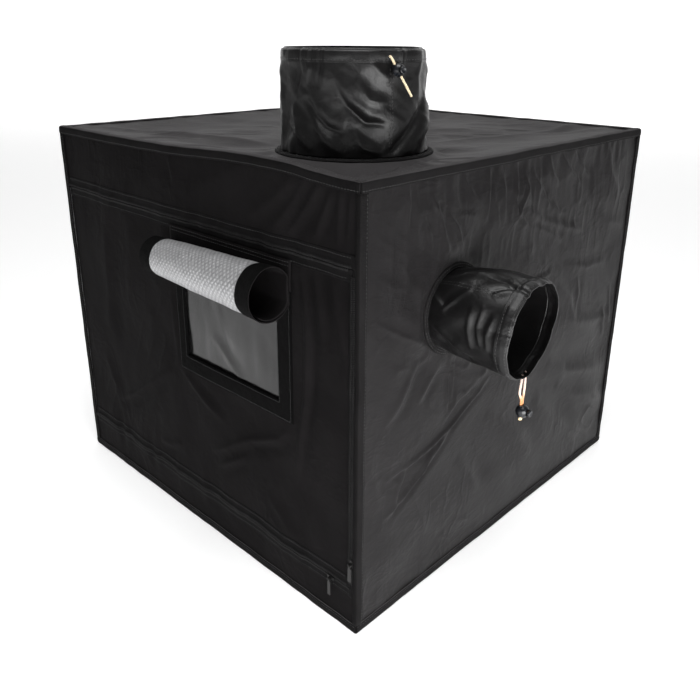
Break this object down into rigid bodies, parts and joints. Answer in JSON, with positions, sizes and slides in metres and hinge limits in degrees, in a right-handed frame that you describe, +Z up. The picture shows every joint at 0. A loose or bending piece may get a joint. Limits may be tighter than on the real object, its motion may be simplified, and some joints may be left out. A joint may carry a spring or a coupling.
{
  "type": "printer enclosure tent",
  "caption": "Soft box tent on a tube frame with a zipped windowed door, a rolled window flap and two drawcord duct sleeves.",
  "frame": {"origin": "centre of the underside of the floor panel, on the surface the tent stands on", "axes": "+Z up, -Y out of the front with the door and window, +X out of the wall with the side sleeve"},
  "size_m": [0.711, 0.6517, 0.6381],
  "materials": {
    "steel_tube": "satin grey enamel on thin steel tube",
    "black_plastic": "moulded, lightly textured",
    "black_fabric": "coated woven polyester, silver film inside",
    "binding_tape": "ribbed woven tape",
    "window_film": "tinted flexible film",
    "hook_tape": "hook-and-loop pile",
    "silver_lining": "aluminised film, embossed in small diamonds",
    "zip_metal": "satin nickel",
    "cord": "braided cream cord",
    "lock_plastic": "semi-gloss moulded"
  },
  "bodies": {
    "shell": {"rail_bottom_front": "steel_tube", "rail_bottom_back": "steel_tube", "rail_bottom_left": "steel_tube", "rail_bottom_right": "steel_tube", "rail_top_front": "steel_tube", "rail_top_back": "steel_tube", "rail_top_left": "steel_tube", "rail_top_right": "steel_tube", "post_front_left": "steel_tube", "post_front_right": "steel_tube", "post_back_left": "steel_tube", "post_back_right": "steel_tube", "joint_bottom_front_left": "black_plastic", "joint_bottom_front_right": "black_plastic", "joint_bottom_back_left": "black_plastic", "joint_bottom_back_right": "black_plastic", "joint_top_front_left": "black_plastic", "joint_top_front_right": "black_plastic", "joint_top_back_left": "black_plastic", "joint_top_back_right": "black_plastic", "floor_panel": "black_fabric", "roof_panel": "black_fabric", "right_wall": "black_fabric", "left_wall": "black_fabric", "back_wall": "black_fabric", "front_header": "black_fabric", "front_sill": "black_fabric", "binding_top": "binding_tape", "binding_bottom": "binding_tape", "binding_front_left": "binding_tape", "binding_front_right": "binding_tape", "binding_back_left": "binding_tape", "binding_back_right": "binding_tape", "zip_cover_half": "binding_tape", "side_port_ring": "binding_tape", "side_sleeve": "black_fabric", "top_port_ring": "binding_tape", "top_sleeve": "black_fabric"},
    "door": {"door_panel": "black_fabric", "window_pane": "window_film", "window_hook_frame": "hook_tape", "zip_door_half": "binding_tape", "flap_sheet": "black_fabric"},
    "flap_roll": {"flap_roll": "silver_lining"},
    "side_slider": {"zip_slider_side": "zip_metal"},
    "side_pull": {"zip_pull_side": "zip_metal"},
    "bottom_slider": {"zip_slider_bottom": "zip_metal"},
    "bottom_pull": {"zip_pull_bottom": "zip_metal"},
    "side_mouth": {"side_hem": "black_fabric", "side_cord_a": "cord", "side_cord_b": "cord"},
    "side_lock": {"side_lock": "lock_plastic"},
    "side_button": {"side_lock_button": "lock_plastic"},
    "top_mouth": {"top_hem": "black_fabric", "top_cord": "cord"},
    "top_lock": {"top_lock": "lock_plastic"},
    "top_button": {"top_lock_button": "lock_plastic"}
  },
  "joints": [
    {"name": "door_swing", "type": "hinge", "parent": "shell", "child": "door", "pos_m": [-0.2906, -0.302, 0.25], "axis": [0, 0, -1], "range_deg": [0, 165]},
    {"name": "flap_unroll", "type": "slide", "parent": "door", "child": "flap_roll", "axis": [0, 0, -1], "range_m": [0, 0.14], "deforming": ["flap_sheet"]},
    {"name": "side_zip_travel", "type": "slide", "parent": "shell", "child": "side_slider", "axis": [0, 0, 1], "range_m": [0, 0.325]},
    {"name": "side_pull_flip", "type": "hinge", "parent": "side_slider", "child": "side_pull", "pos_m": [0.29445, -0.3055, 0.095], "axis": [-1, 0, 0], "range_deg": [0, 160]},
    {"name": "bottom_zip_travel", "type": "slide", "parent": "shell", "child": "bottom_slider", "axis": [-1, 0, 0], "range_m": [0, 0.53]},
    {"name": "bottom_pull_flip", "type": "hinge", "parent": "bottom_slider", "child": "bottom_pull", "pos_m": [0.262, -0.3055, 0.05755], "axis": [-1, 0, 0], "range_deg": [0, 160]},
    {"name": "side_sleeve_collapse", "type": "slide", "parent": "shell", "child": "side_mouth", "axis": [-1, 0, 0], "range_m": [0, 0.06], "deforming": ["side_sleeve"]},
    {"name": "side_lock_slide", "type": "slide", "parent": "side_mouth", "child": "side_lock", "axis": [0, 0, 1], "range_m": [-0.004, 0.005]},
    {"name": "side_button_press", "type": "slide", "parent": "side_lock", "child": "side_button", "axis": [-1, 0, 0], "range_m": [0, 0.0025], "stiffness_N_per_m": 80},
    {"name": "top_sleeve_collapse", "type": "slide", "parent": "shell", "child": "top_mouth", "axis": [0, 0, -1], "range_m": [0, 0.06], "deforming": ["top_sleeve"]},
    {"name": "top_lock_slide", "type": "slide", "parent": "top_mouth", "child": "top_lock", "axis": [0.1622, 0.5306, -0.832], "range_m": [0, 0.015]},
    {"name": "top_button_press", "type": "slide", "parent": "top_lock", "child": "top_button", "axis": [-0.9563, 0.2924, 0], "range_m": [0, 0.0025], "stiffness_N_per_m": 80}
  ]
}
